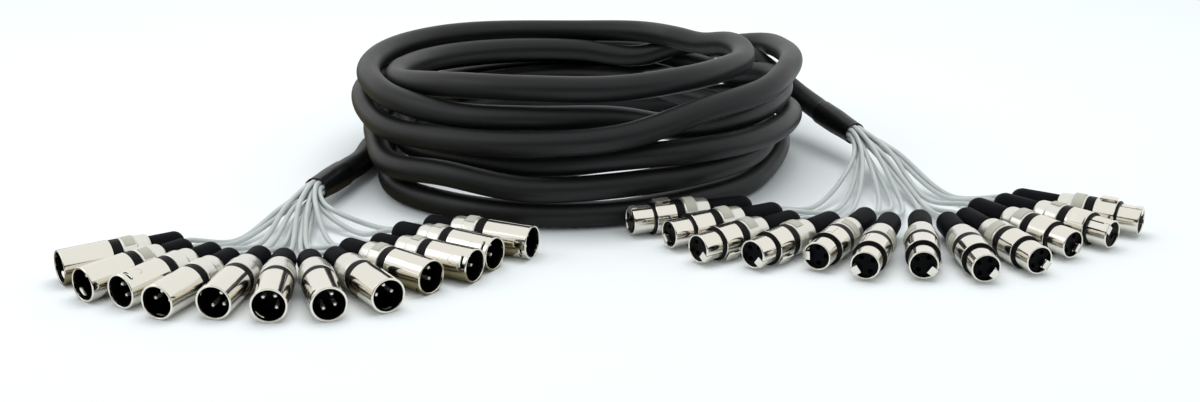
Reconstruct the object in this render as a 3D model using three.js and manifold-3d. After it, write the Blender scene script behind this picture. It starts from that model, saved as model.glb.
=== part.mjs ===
// A twelve-way stage cable snake, coiled and laid out on a floor: one thick trunk in a pile of
// loops, a shrink sleeve at each of its ends, twelve thin tails out of each sleeve, and a cable
// plug or a cable socket on every tail. Millimetres, +Z up, standing on z = 0.
import * as THREE from 'three';
import { mergeVertices } from 'three/addons/utils/BufferGeometryUtils.js';
import Module from 'manifold-3d';

const wasm = await Module();
wasm.setup();

// Driving sizes of the connectors. Distances along a connector run back from its mating end.
const shellRadius = 9.5;
const runningGap = 0.3;
const edgeChamfer = 0.5;
const cutOverrun = 1;
const contactCircle = 4.4;

// The male cable plug: a nickel tube over an insert with three pins, then ring, cap and boot.
const plug = {
  length: 68,
  shellLength: 27,
  wall: 1.25,
  insertDepth: 15,
  insertClearance: 0.35,
  ringLength: 5.5,
  ringStep: 0.3,
  capLength: 16,
  capTaper: 1.2,
  capLip: 1.4,
  bootTaper: 0.4,
  bootTipLength: 5.5,
  bootTipInset: 2.4,
  bootEndLength: 0.4,
  bootEndInset: 0.8,
  pinRadius: 1.2,
  pinTipDepth: 4.7,
  pinTipLength: 0.9,
  pinTipRadius: 0.6,
  slotDepth: 2.6,
  slotLength: 1.4,
  slotWidth: 5.5,
};

// The female cable socket: a nickel nose that goes into a plug, a body with the latch, band,
// cap and boot.
const socket = {
  length: 76,
  noseLength: 12,
  noseStep: 1.5,
  bodyLength: 14,
  bandLength: 5,
  bandStep: 0.4,
  capLength: 16.5,
  capTaper: 1.2,
  capLip: 1.4,
  bootTaper: 0.4,
  bootTipLength: 7,
  bootTipInset: 2.4,
  bootEndLength: 0.4,
  bootEndInset: 0.8,
  contactRadius: 1.35,
  contactDepth: 10,
};

// The latch lever, which turns about its rear end and lies in a groove of the nose and body.
const latch = {
  width: 4,
  underside: 6.6,
  thickness: 1.1,
  frontInset: 0.9,
  hookLength: 2.5,
  hookHeight: 1.2,
  tabFront: 14.4,
  tabLength: 5.8,
  tabHeight: 2.3,
  slope: 0.6,
  rear: 25.6,
  travelRoom: 1.7,
  rearGap: 0.6,
};

// The trunk, and the upright axis of its coil.
const trunkRadius = 7.6;
const coilCentre = new THREE.Vector2(-28, 53);

// The trunk's way from the plugs' sleeve through all the loops to the sockets' sleeve. Every row
// holds a place in turns about the coil's axis, clockwise seen from above and from its left side,
// and there, as shares of the trunk's radius, the distance from the axis and the height.
const trunkWayShares = [
  [-0.0707, 21.09, 1.46], [-0.0494, 19.24, 1.22], [0, 17.85, 1.06], [0.125, 18.63, 1.08],
  [0.25, 18.96, 1.02], [0.31, 19.08, 1], [0.36, 19.21, 1.01], [0.405, 18.78, 1.03],
  [0.45, 18.47, 1.23], [0.55, 17.1, 1.15], [0.6, 17.22, 1], [0.66, 17.02, 1.1],
  [0.72, 17.77, 1.03], [0.78, 18.34, 1.12], [0.84, 18.45, 1.09], [0.89, 18.29, 1.06],
  [0.94, 16.77, 1.07], [1, 15.64, 1], [1.125, 16.12, 1], [1.25, 16.32, 1], [1.31, 16.21, 1],
  [1.36, 16.77, 1.68], [1.405, 17.86, 3.07], [1.45, 18.53, 3.56], [1.55, 18.41, 4.82],
  [1.6, 18.5, 5.17], [1.66, 18.43, 5.52], [1.72, 17.37, 5.29], [1.78, 17, 4.52],
  [1.84, 16.7, 4.44], [1.89, 16.38, 4.16], [1.94, 15.52, 3.85], [2, 15.23, 3.34],
  [2.125, 16.3, 3.09], [2.25, 16.44, 3.16], [2.31, 15.49, 3.08], [2.36, 14.68, 2.73],
  [2.405, 15.71, 2.55], [2.45, 16.37, 2.85], [2.55, 16.75, 3.31], [2.6, 17.38, 3.38],
  [2.66, 17.73, 3.43], [2.72, 18.02, 3.3], [2.78, 18.82, 3.25], [2.84, 19.01, 3.79],
  [2.89, 18.97, 3.21], [2.94, 17.66, 3.44], [3, 17.4, 3.63], [3.125, 18.93, 3.25],
  [3.25, 19.4, 3.37], [3.31, 20.32, 3.94], [3.36, 20.87, 6], [3.405, 20.96, 7.43],
  [3.45, 19.5, 8.17], [3.55, 18.2, 9.1], [3.6, 18.63, 8.99], [3.66, 18.53, 8.65],
  [3.72, 18.85, 7.36], [3.78, 18.68, 6.79], [3.84, 18.68, 6.42], [3.89, 18.69, 6.06],
  [3.94, 18.23, 6.01], [4, 18.33, 6.2], [4.125, 18.19, 5.58], [4.25, 18.25, 5.17],
  [4.31, 18.28, 5.37], [4.36, 18.05, 4.85], [4.405, 16.95, 5.1], [4.45, 17.86, 6.11],
  [4.55, 17.21, 6.59], [4.6, 16.88, 6.65], [4.66, 16.42, 6.74], [4.72, 16.29, 8.08],
  [4.78, 16.9, 8.27], [4.84, 17.35, 8.06], [4.89, 18.16, 8.44], [4.94, 17.83, 8.49],
  [5, 17.71, 8.37], [5.125, 18.38, 7.86], [5.25, 17.64, 7.3], [5.31, 16.1, 7.82],
  [5.36, 14.04, 8.27], [5.405, 13.59, 8.41], [5.45, 13.99, 9.23], [5.55, 14.56, 9.84],
  [5.6, 15.23, 10.35], [5.66, 16.38, 10.7], [5.72, 16.92, 10.64], [5.78, 16.91, 10.65],
  [5.84, 16.68, 10.26], [5.89, 16.17, 9.42], [5.94, 15.66, 8.44], [6, 15.25, 7.76],
  [6.125, 15.39, 6.72], [6.25, 15.7, 5.86], [6.31, 15.95, 5.5], [6.36, 17.22, 7.13],
  [6.405, 18.54, 6.85], [6.4584, 21.18, 3.82], [6.482, 21.89, 3.38],
];

// The tails, and the shrink sleeves that gather them at the trunk's ends.
const tailRadius = 1.5;
const innerTails = 3;
const outerTails = 9;
const bundleCircle = 4.75;
const innerBundleCircle = 1.75;
const sleeve = {
  length: 42,
  wall: 0.55,
  jacketGrip: 20,
  shoulder: 6,
  clearance: 0.35,
  coreLength: 12,
};

// Moves the whole layout so that the middle of its outline lies over the origin.
const layoutShift = new THREE.Vector2(0.7, 7.95);

// Counts of flat sides and steps.
const connectorSides = 12;
const pinSides = 6;
const tailSides = 8;
const tailSteps = 10;
const loopSides = 6;
const loopSteps = 24;

const finishes = {
  nickel: { color: 0xcfcabc, roughness: 0.25, metalness: 0.9 },
  nickelRear: { color: 0xd6d1c4, roughness: 0.35, metalness: 0.8 },
  steel: { color: 0xbdb9ae, roughness: 0.3, metalness: 0.9 },
  jacket: { color: 0x1c1c1d, roughness: 0.55, metalness: 0 },
  shrink: { color: 0x101011, roughness: 0.25, metalness: 0 },
  tail: { color: 0x9b9b98, roughness: 0.5, metalness: 0 },
};

// Turns a closed three.js geometry into a solid, with collapsed triangles left out.
function solidOf(geometry) {
  const bare = geometry.clone();
  bare.deleteAttribute('normal');
  bare.deleteAttribute('uv');
  const merged = mergeVertices(bare);
  const corners = merged.index.array;
  const kept = [];
  for (let i = 0; i < corners.length; i += 3) {
    const [a, b, c] = [corners[i], corners[i + 1], corners[i + 2]];
    if (a !== b && b !== c && c !== a) kept.push(a, b, c);
  }
  return new wasm.Manifold(new wasm.Mesh({
    numProp: 3,
    vertProperties: new Float32Array(merged.attributes.position.array),
    triVerts: new Uint32Array(kept),
  }));
}

function geometryOf(solid) {
  const mesh = solid.getMesh();
  const geometry = new THREE.BufferGeometry();
  geometry.setAttribute('position', new THREE.BufferAttribute(new Float32Array(mesh.vertProperties), 3));
  geometry.setIndex(new THREE.BufferAttribute(new Uint32Array(mesh.triVerts), 1));
  geometry.computeVertexNormals();
  return geometry;
}

// A body of revolution about X. The outline lists [radius, distance behind the mating end], from
// the rear to the front, or runs round a wall with its outside from the rear to the front.
function turned(outline, sides) {
  const points = outline.map(([radius, behind]) => new THREE.Vector2(radius, -behind));
  const geometry = new THREE.LatheGeometry(points, sides);
  geometry.rotateZ(-Math.PI / 2);
  return geometry;
}

// A box between two distances behind the mating end and two radii, centred on the top line.
function slotCutter(front, rear, width, low, high) {
  const geometry = new THREE.BoxGeometry(rear - front, width, high - low);
  geometry.translate(-(front + rear) / 2, 0, (low + high) / 2);
  return solidOf(geometry);
}

// The contacts' places on their circle: left, right and opposite the latch.
function contactPlaces() {
  return [-1, 1, 2].map((quarters) => {
    const angle = quarters * Math.PI / 2;
    return new THREE.Vector3(0, contactCircle * Math.sin(angle), contactCircle * Math.cos(angle));
  });
}

function plugShellGeometry() {
  const bore = shellRadius - plug.wall;
  const tube = solidOf(turned([
    [shellRadius, plug.shellLength],
    [shellRadius, edgeChamfer],
    [shellRadius - edgeChamfer, 0],
    [bore, 0],
    [bore, plug.shellLength],
    [shellRadius, plug.shellLength],
  ], connectorSides));
  const slotRear = plug.slotDepth + plug.slotLength;
  const slot = slotCutter(plug.slotDepth, slotRear, plug.slotWidth, contactCircle, shellRadius + cutOverrun);
  return geometryOf(tube.subtract(slot));
}

// The insert with its pins, the black ring, the cap and the boot, which the shell slides over.
function plugRearGeometry() {
  const insertRadius = shellRadius - plug.wall - plug.insertClearance;
  const ringFront = plug.shellLength + runningGap;
  const ringRear = ringFront + plug.ringLength;
  const ringRadius = shellRadius - plug.ringStep;
  const capRear = ringRear + plug.capLength;
  const capTail = shellRadius - plug.capTaper;
  const bootRadius = capTail - plug.capLip;
  const tipFront = plug.length - plug.bootTipLength;
  const endFront = plug.length - plug.bootEndLength;
  const endRadius = bootRadius - plug.bootTipInset;
  let solid = solidOf(turned([
    [0, plug.length],
    [endRadius - plug.bootEndInset, plug.length],
    [endRadius, endFront],
    [bootRadius - plug.bootTaper, tipFront],
    [bootRadius, capRear],
    [capTail, capRear],
    [shellRadius, ringRear],
    [ringRadius, ringRear],
    [ringRadius, ringFront],
    [insertRadius, ringFront],
    [insertRadius, plug.insertDepth],
    [0, plug.insertDepth],
  ], connectorSides));
  const pin = turned([
    [0, plug.insertDepth + cutOverrun],
    [plug.pinRadius, plug.insertDepth + cutOverrun],
    [plug.pinRadius, plug.pinTipDepth + plug.pinTipLength],
    [plug.pinTipRadius, plug.pinTipDepth],
    [0, plug.pinTipDepth],
  ], pinSides);
  for (const place of contactPlaces()) {
    solid = solid.add(solidOf(pin.clone().translate(place.x, place.y, place.z)));
  }
  return geometryOf(solid);
}

function socketBodyGeometry() {
  const noseRadius = shellRadius - socket.noseStep;
  const bodyRear = socket.noseLength + socket.bodyLength;
  const bandRear = bodyRear + socket.bandLength;
  const bandRadius = shellRadius - socket.bandStep;
  const capRear = bandRear + socket.capLength;
  const capTail = shellRadius - socket.capTaper;
  const bootRadius = capTail - socket.capLip;
  const tipFront = socket.length - socket.bootTipLength;
  const endFront = socket.length - socket.bootEndLength;
  const endRadius = bootRadius - socket.bootTipInset;
  let solid = solidOf(turned([
    [0, socket.length],
    [endRadius - socket.bootEndInset, socket.length],
    [endRadius, endFront],
    [bootRadius - socket.bootTaper, tipFront],
    [bootRadius, capRear],
    [capTail, capRear],
    [shellRadius, bandRear],
    [bandRadius, bandRear],
    [bandRadius, bodyRear],
    [shellRadius, bodyRear],
    [shellRadius, socket.noseLength],
    [noseRadius, socket.noseLength],
    [noseRadius, edgeChamfer],
    [noseRadius - edgeChamfer, 0],
    [0, 0],
  ], connectorSides));
  const hole = turned([
    [0, socket.contactDepth],
    [socket.contactRadius, socket.contactDepth],
    [socket.contactRadius, -cutOverrun],
    [0, -cutOverrun],
  ], pinSides);
  for (const place of contactPlaces()) {
    solid = solid.subtract(solidOf(hole.clone().translate(place.x, place.y, place.z)));
  }
  const grooveFloor = latch.underside - latch.travelRoom;
  const grooveWidth = latch.width + 2 * runningGap;
  const grooveRear = latch.rear + latch.rearGap;
  return geometryOf(solid.subtract(
    slotCutter(-cutOverrun, grooveRear, grooveWidth, grooveFloor, shellRadius + cutOverrun)));
}

// The lever's side outline, as distance ahead of its own rear and radius, carried across its width.
function latchGeometry() {
  const top = latch.underside + latch.thickness;
  const hookRear = latch.frontInset + latch.hookLength;
  const tabRear = latch.tabFront + latch.tabLength;
  const outline = new THREE.Shape([
    [latch.rear, latch.underside],
    [latch.frontInset, latch.underside],
    [latch.frontInset, top],
    [latch.frontInset + latch.slope, top + latch.hookHeight],
    [hookRear, top + latch.hookHeight],
    [hookRear, top],
    [latch.tabFront, top],
    [latch.tabFront + latch.slope, top + latch.tabHeight],
    [tabRear - latch.slope, top + latch.tabHeight],
    [tabRear, top],
    [latch.rear, top],
  ].map(([behind, radius]) => new THREE.Vector2(-behind, radius)));
  const geometry = new THREE.ExtrudeGeometry(outline, { depth: latch.width, bevelEnabled: false });
  geometry.translate(0, 0, -latch.width / 2);
  geometry.rotateX(Math.PI / 2);
  return geometry;
}

// A round section for a cord, as a polygon with the given number of sides.
function cordSection(radius, sides) {
  const points = [];
  for (let i = 0; i < sides; i += 1) {
    const angle = 2 * Math.PI * i / sides;
    points.push(new THREE.Vector2(radius * Math.cos(angle), radius * Math.sin(angle)));
  }
  return new THREE.Shape(points);
}

function cordGeometry(points, radius, sides, steps) {
  const path = new THREE.CatmullRomCurve3(points, false, 'centripetal');
  return new THREE.ExtrudeGeometry(cordSection(radius, sides), { steps, extrudePath: path, bevelEnabled: false });
}

// The slope of a column of the trunk's way at a row, weighted from the slopes on both sides.
function waySlope(row, column) {
  const rows = trunkWayShares;
  const slopeAfter = (i) => (rows[i + 1][column] - rows[i][column]) / (rows[i + 1][0] - rows[i][0]);
  if (row === 0) return slopeAfter(0);
  if (row === rows.length - 1) return slopeAfter(row - 1);
  const before = rows[row][0] - rows[row - 1][0];
  const after = rows[row + 1][0] - rows[row][0];
  return (slopeAfter(row - 1) * after + slopeAfter(row) * before) / (before + after);
}

// A column of the trunk's way at any number of turns, by a cubic between each two rows.
function wayValue(turns, column) {
  const rows = trunkWayShares;
  let row = 0;
  while (row < rows.length - 2 && rows[row + 1][0] <= turns) row += 1;
  const span = rows[row + 1][0] - rows[row][0];
  const u = (turns - rows[row][0]) / span;
  const v = 1 - u;
  return (1 + 2 * u) * v * v * rows[row][column]
    + (1 + 2 * v) * u * u * rows[row + 1][column]
    + u * v * v * span * waySlope(row, column)
    - u * u * v * span * waySlope(row + 1, column);
}

function coilPoint(turns) {
  const bearing = Math.PI - 2 * Math.PI * turns;
  const radius = trunkRadius * wayValue(turns, 1);
  return new THREE.Vector3(
    coilCentre.x + radius * Math.cos(bearing),
    coilCentre.y + radius * Math.sin(bearing),
    trunkRadius * Math.max(wayValue(turns, 2), 1));
}

// The centre line of the whole trunk: its curve, and a straight end in each sleeve.
function trunkCentres() {
  const from = trunkWayShares[0][0];
  const to = trunkWayShares[trunkWayShares.length - 1][0];
  const steps = Math.round((to - from) * loopSteps);
  const centres = [];
  for (let i = 0; i <= steps; i += 1) centres.push(coilPoint(from + (to - from) * i / steps));
  const ends = [sleeves.plugs, sleeves.sockets].map((fan) => {
    const inSleeve = sleeve.length - sleeve.jacketGrip + runningGap;
    return fan.mouth.clone().addScaledVector(headingOf(fan.bearing, fan.rise), -inSleeve);
  });
  return [ends[0], ...centres, ends[1]];
}

// One unbroken tube through all the loops, as rings of points square to the centre line, with a
// fan of triangles over each end. Also gives its least gap to itself, measured on its points.
function trunkGeometry() {
  const centres = trunkCentres();
  const last = centres.length - 1;
  const rings = centres.map((centre, i) => {
    const from = centres[Math.max(i - 1, 0)];
    const to = centres[Math.min(i + 1, last)];
    const along = to.clone().sub(from).normalize();
    const side = new THREE.Vector3(0, 0, 1).cross(along).normalize();
    const up = along.clone().cross(side);
    const ring = [];
    for (let k = 0; k < loopSides; k += 1) {
      const angle = 2 * Math.PI * (k + 1 / 2) / loopSides;
      ring.push(centre.clone()
        .addScaledVector(side, trunkRadius * Math.cos(angle))
        .addScaledVector(up, trunkRadius * Math.sin(angle)));
    }
    return ring;
  });
  const corners = [];
  for (let i = 0; i < last; i += 1) {
    for (let k = 0; k < loopSides; k += 1) {
      const next = (k + 1) % loopSides;
      const [a, b] = [i * loopSides + k, i * loopSides + next];
      corners.push(a, b, b + loopSides, a, b + loopSides, a + loopSides);
    }
  }
  for (let k = 1; k < loopSides - 1; k += 1) {
    const end = last * loopSides;
    corners.push(0, k + 1, k, end, end + k, end + k + 1);
  }
  const geometry = new THREE.BufferGeometry();
  geometry.setAttribute('position', new THREE.Float32BufferAttribute(
    rings.flat().flatMap((p) => [p.x, p.y, p.z]), 3));
  geometry.setIndex(corners);
  geometry.computeVertexNormals();
  return { geometry, gap: leastSelfGap(rings) };
}

// The least distance between points of strands that are at least half a turn apart.
function leastSelfGap(rings) {
  let least = Infinity;
  for (let i = 0; i < rings.length; i += 1) {
    for (let j = i + loopSteps / 2; j < rings.length; j += 1) {
      for (const a of rings[i]) {
        for (const b of rings[j]) least = Math.min(least, a.distanceTo(b));
      }
    }
  }
  return least;
}

// The fans: for every connector its boot's end, as shares of a connector's radius along X and Y
// from the boot that lies nearest to the coil, the bearing in which it points, and its roll.
const plugFanShares = [
  [-13.72, -2.75, -145, -145], [-13.06, -3.79, -128.4, -140], [-11.35, -4.29, -122.4, 22],
  [-10.2, -5.16, -111.6, 180], [-8.69, -4.79, -99.3, -55], [-7.37, -5.14, -85.8, -138],
  [-6.02, -5.33, -71.1, -58], [-4.78, -5.01, -55.7, 180], [-4.29, -3.76, -39, -136],
  [-2.71, -3.04, -29.5, -62], [-1.65, -1.07, -30.6, -52], [0, 0, -23.5, -117],
];
const socketFanShares = [
  [0, 0, -160.3, 0], [1.71, -1.11, -151, -135], [2.57, -2.5, -142.1, 125],
  [4.91, -2.61, -134.5, 125], [7.03, -1.77, -120.9, -95], [8.25, -2.56, -110.6, -125],
  [10.04, -2.09, -99.4, 125], [11.51, -2.49, -85.7, 125], [12.62, -1.75, -69.6, 125],
  [13.66, -0.04, -56.9, 125], [15.4, 0.79, -47.3, -50], [16.57, 1.56, -33.1, 0],
];

function degrees(value) {
  return THREE.MathUtils.degToRad(value);
}

function headingOf(bearing, rise = 0) {
  const [b, r] = [degrees(bearing), degrees(rise)];
  return new THREE.Vector3(Math.cos(b) * Math.cos(r), Math.sin(b) * Math.cos(r), Math.sin(r));
}

// A fan's end of the trunk: the bearing and the dip of its sleeve's axis, the sleeve's mouth, which
// lies a sleeve's length past the end of the trunk's way, and the end of the boot that lies nearest
// to the coil, by its bearing from the coil's axis and its distance as a share of the trunk's radius.
function fanAt(wayEnd, bearing, rise, bootBearing, bootShare) {
  const mouth = coilPoint(wayEnd[0]).addScaledVector(headingOf(bearing, rise), sleeve.length);
  const nearBoot = new THREE.Vector3(coilCentre.x, coilCentre.y, shellRadius)
    .addScaledVector(headingOf(bootBearing), bootShare * trunkRadius + shellRadius);
  return { mouth, bearing, rise, nearBoot };
}

const sleeves = {
  plugs: fanAt(trunkWayShares[0], -103.5, 4, -117.8, 22.4),
  sockets: fanAt(trunkWayShares[trunkWayShares.length - 1], -67, -5, -50.3, 20.26),
};

// A connector's frame: its mating end, its heading and its boot's end, lying on the floor.
function seatOf(fan, row, length) {
  const [xShare, yShare, pointing, roll] = row;
  const boot = fan.nearBoot.clone();
  boot.x += xShare * shellRadius;
  boot.y += yShare * shellRadius;
  const heading = headingOf(pointing);
  const rim = boot.clone().addScaledVector(heading, length);
  return { boot, heading, rim, pointing, roll };
}

// Evenly spaced places on a circle, filled from its left point to its right one by turns below
// and above.
function circlePlaces(count, circle) {
  const places = [];
  for (let i = 0; i < count; i += 1) {
    const steps = i % 2 === 0 ? -i / 2 : (i + 1) / 2;
    const angle = Math.PI + 2 * Math.PI * steps / count;
    places.push(new THREE.Vector2(circle * Math.cos(angle), circle * Math.sin(angle)));
  }
  return places;
}

// Places in the bundle of tails at a sleeve's mouth, as offsets across its axis, from left to
// right, so that the tails leave in the order of their connectors.
const bundlePlaces = [
  ...circlePlaces(outerTails, bundleCircle),
  ...circlePlaces(innerTails, innerBundleCircle),
].sort((a, b) => a.x - b.x);

// Shares of a tail's way, and its heights on it as shares of a connector's radius.
const tailStraight = 3.4;
const tailLeaveShare = 0.26;
const tailApproachShare = 0.3;
const tailLeaveHeightShare = 0.78;
const tailLowHeightShare = 0.36;

function tailPoints(fan, seat, index) {
  const axis = headingOf(fan.bearing, fan.rise);
  const across = new THREE.Vector3(0, 0, 1).cross(axis).normalize();
  const up = axis.clone().cross(across);
  const offset = bundlePlaces[index];
  const shift = across.clone().multiplyScalar(offset.x).addScaledVector(up, offset.y);
  const at = (along) => fan.mouth.clone().addScaledVector(axis, along).add(shift);
  const out = seat.boot.clone().addScaledVector(seat.heading, -runningGap);
  const straight = out.clone().addScaledVector(seat.heading, -tailStraight);
  const way = out.distanceTo(fan.mouth);
  const toBoot = out.clone().sub(fan.mouth).setZ(0).normalize();
  const leave = toBoot.add(axis).setZ(0).normalize();
  const first = at(tailStraight).addScaledVector(leave, tailLeaveShare * way);
  first.z = (fan.mouth.z + offset.y) * tailLeaveHeightShare;
  const second = out.clone().addScaledVector(seat.heading, -tailApproachShare * way);
  second.z = tailLowHeightShare * shellRadius;
  return [at(-sleeve.coreLength + runningGap), at(-tailStraight), at(tailStraight),
    first, second, straight, out];
}

// All the tails of a fan, grown together in the short bundle that fills the sleeve's mouth.
function tailsGeometry(fan, seats) {
  const coreRadius = bundleCircle + tailRadius;
  const core = turned([
    [0, sleeve.coreLength],
    [coreRadius, sleeve.coreLength],
    [coreRadius, 0],
    [0, 0],
  ], connectorSides);
  let solid = solidOf(core.applyMatrix4(frameOf(fan)));
  seats.forEach((seat, index) => {
    solid = solid.add(solidOf(cordGeometry(tailPoints(fan, seat, index), tailRadius, tailSides, tailSteps)));
  });
  return geometryOf(solid);
}

// The matrix that lays a body of revolution along a sleeve's axis, with its front at the mouth.
function frameOf(fan) {
  const matrix = new THREE.Matrix4().makeRotationFromEuler(
    new THREE.Euler(0, -degrees(fan.rise), degrees(fan.bearing), 'ZYX'));
  return matrix.setPosition(fan.mouth);
}

// The shrink sleeve: wide over the trunk's end, then drawn down on the bundle of tails.
function sleeveGeometry() {
  const overTrunk = trunkRadius + sleeve.clearance;
  const overTails = bundleCircle + tailRadius + sleeve.clearance;
  const gripFront = sleeve.length - sleeve.jacketGrip;
  const neckRear = gripFront - sleeve.shoulder;
  return turned([
    [overTrunk, sleeve.length],
    [overTrunk + sleeve.wall, sleeve.length],
    [overTrunk + sleeve.wall, gripFront],
    [overTails + sleeve.wall, neckRear],
    [overTails + sleeve.wall, 0],
    [overTails, 0],
    [overTails, neckRear],
    [overTrunk, gripFront],
    [overTrunk, sleeve.length],
  ], connectorSides);
}

const snake = new THREE.Group();

function addMesh(name, geometry, finish, parent = snake) {
  const mesh = new THREE.Mesh(geometry, new THREE.MeshStandardMaterial(finishes[finish]));
  mesh.name = name;
  parent.add(mesh);
  return mesh;
}

function connectorGroup(seat) {
  const group = new THREE.Group();
  group.position.copy(seat.rim);
  group.rotation.set(-degrees(seat.roll), 0, degrees(seat.pointing), 'ZYX');
  snake.add(group);
  return group;
}

const numberOf = (index) => String(index + 1).padStart(2, '0');

const trunk = trunkGeometry();
console.log(`trunk: least gap between its loops ${trunk.gap.toFixed(2)} mm`);
addMesh('trunk', trunk.geometry, 'jacket');

const plugSeats = plugFanShares.map((row) => seatOf(sleeves.plugs, row, plug.length));
const socketSeats = socketFanShares.map((row) => seatOf(sleeves.sockets, row, socket.length));

for (const [end, fan, seats] of [
  ['plug_end', sleeves.plugs, plugSeats],
  ['socket_end', sleeves.sockets, socketSeats],
]) {
  addMesh(`shrink_sleeve_${end}`, sleeveGeometry().applyMatrix4(frameOf(fan)), 'shrink');
  addMesh(`tails_${end}`, tailsGeometry(fan, seats), 'tail');
}

plugSeats.forEach((seat, index) => {
  const group = connectorGroup(seat);
  addMesh(`plug_${numberOf(index)}_shell`, plugShellGeometry(), 'nickel', group);
  addMesh(`plug_${numberOf(index)}_insert_cap_boot`, plugRearGeometry(), 'nickelRear', group);
});

socketSeats.forEach((seat, index) => {
  const group = connectorGroup(seat);
  addMesh(`socket_${numberOf(index)}_body`, socketBodyGeometry(), 'nickel', group);
  addMesh(`socket_${numberOf(index)}_latch`, latchGeometry(), 'steel', group);
});

snake.position.set(layoutShift.x, layoutShift.y, 0);

export default snake;
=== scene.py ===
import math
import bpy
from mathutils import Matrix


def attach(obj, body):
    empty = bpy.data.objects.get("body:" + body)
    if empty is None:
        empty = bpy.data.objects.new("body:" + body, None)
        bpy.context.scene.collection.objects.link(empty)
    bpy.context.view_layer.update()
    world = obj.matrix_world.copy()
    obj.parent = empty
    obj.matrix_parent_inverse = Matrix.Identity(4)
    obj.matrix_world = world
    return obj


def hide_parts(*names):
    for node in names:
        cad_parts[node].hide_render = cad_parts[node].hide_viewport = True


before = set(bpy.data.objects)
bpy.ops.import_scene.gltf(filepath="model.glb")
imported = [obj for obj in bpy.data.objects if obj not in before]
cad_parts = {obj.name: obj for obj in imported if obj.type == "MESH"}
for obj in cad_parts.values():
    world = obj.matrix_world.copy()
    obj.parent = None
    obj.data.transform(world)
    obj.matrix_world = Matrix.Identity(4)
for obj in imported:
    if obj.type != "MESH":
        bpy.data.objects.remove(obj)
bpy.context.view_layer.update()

# A twelve-way stage cable snake, coiled on a pale floor, laid out as a Blender add-on. Each piece
# is worked out in millimetres in the row frame and stored in metres: the trunk in one curve through
# all its loops, a shrink sleeve on each of its ends, twelve thin tails out of each sleeve, and a
# cable plug or a cable socket on every tail.
from types import SimpleNamespace

import bpy
import numpy as np
from mathutils import Matrix
from mathutils.geometry import tessellate_polygon

bl_info = {
    "name": "Stage cable snake",
    "version": (1, 0, 0),
    "blender": (4, 5, 0),
    "location": "View3D > Sidebar > Snake",
    "description": "Builds a coiled twelve-way stage cable snake",
    "category": "Object",
}

# Metres in a millimetre, the distance in millimetres within which points become one, and the turn
# between two faces over which their edge is sharp.
MM = 0.001
JOIN = 0.001
SHARP = math.radians(57)

# The trunk's way from the plugs' sleeve through all the loops to the sockets' sleeve: turns about
# the coil's axis, and as shares of the trunk's radius the distance from the axis and the height.
TRUNK_WAY = (
    (-0.0707, 21.09, 1.46), (-0.0494, 19.24, 1.22), (0, 17.85, 1.06), (0.125, 18.63, 1.08),
    (0.25, 18.96, 1.02), (0.31, 19.08, 1), (0.36, 19.21, 1.01), (0.405, 18.78, 1.03),
    (0.45, 18.47, 1.23), (0.55, 17.1, 1.15), (0.6, 17.22, 1), (0.66, 17.02, 1.1), (0.72, 17.77, 1.03),
    (0.78, 18.34, 1.12), (0.84, 18.45, 1.09), (0.89, 18.29, 1.06), (0.94, 16.77, 1.07), (1, 15.64, 1),
    (1.125, 16.12, 1), (1.25, 16.32, 1), (1.31, 16.21, 1), (1.36, 16.77, 1.68), (1.405, 17.86, 3.07),
    (1.45, 18.53, 3.56), (1.55, 18.41, 4.82), (1.6, 18.5, 5.17), (1.66, 18.43, 5.52),
    (1.72, 17.37, 5.29), (1.78, 17, 4.52), (1.84, 16.7, 4.44), (1.89, 16.38, 4.16),
    (1.94, 15.52, 3.85), (2, 15.23, 3.34), (2.125, 16.3, 3.09), (2.25, 16.44, 3.16),
    (2.31, 15.49, 3.08), (2.36, 14.68, 2.73), (2.405, 15.71, 2.55), (2.45, 16.37, 2.85),
    (2.55, 16.75, 3.31), (2.6, 17.38, 3.38), (2.66, 17.73, 3.43), (2.72, 18.02, 3.3),
    (2.78, 18.82, 3.25), (2.84, 19.01, 3.79), (2.89, 18.97, 3.21), (2.94, 17.66, 3.44),
    (3, 17.4, 3.63), (3.125, 18.93, 3.25), (3.25, 19.4, 3.37), (3.31, 20.32, 3.94), (3.36, 20.87, 6),
    (3.405, 20.96, 7.43), (3.45, 19.5, 8.17), (3.55, 18.2, 9.1), (3.6, 18.63, 8.99),
    (3.66, 18.53, 8.65), (3.72, 18.85, 7.36), (3.78, 18.68, 6.79), (3.84, 18.68, 6.42),
    (3.89, 18.69, 6.06), (3.94, 18.23, 6.01), (4, 18.33, 6.2), (4.125, 18.19, 5.58),
    (4.25, 18.25, 5.17), (4.31, 18.28, 5.37), (4.36, 18.05, 4.85), (4.405, 16.95, 5.1),
    (4.45, 17.86, 6.11), (4.55, 17.21, 6.59), (4.6, 16.88, 6.65), (4.66, 16.42, 6.74),
    (4.72, 16.29, 8.08), (4.78, 16.9, 8.27), (4.84, 17.35, 8.06), (4.89, 18.16, 8.44),
    (4.94, 17.83, 8.49), (5, 17.71, 8.37), (5.125, 18.38, 7.86), (5.25, 17.64, 7.3),
    (5.31, 16.1, 7.82), (5.36, 14.04, 8.27), (5.405, 13.59, 8.41), (5.45, 13.99, 9.23),
    (5.55, 14.56, 9.84), (5.6, 15.23, 10.35), (5.66, 16.38, 10.7), (5.72, 16.92, 10.64),
    (5.78, 16.91, 10.65), (5.84, 16.68, 10.26), (5.89, 16.17, 9.42), (5.94, 15.66, 8.44),
    (6, 15.25, 7.76), (6.125, 15.39, 6.72), (6.25, 15.7, 5.86), (6.31, 15.95, 5.5),
    (6.36, 17.22, 7.13), (6.405, 18.54, 6.85), (6.4584, 21.18, 3.82), (6.482, 21.89, 3.38),
)

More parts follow.
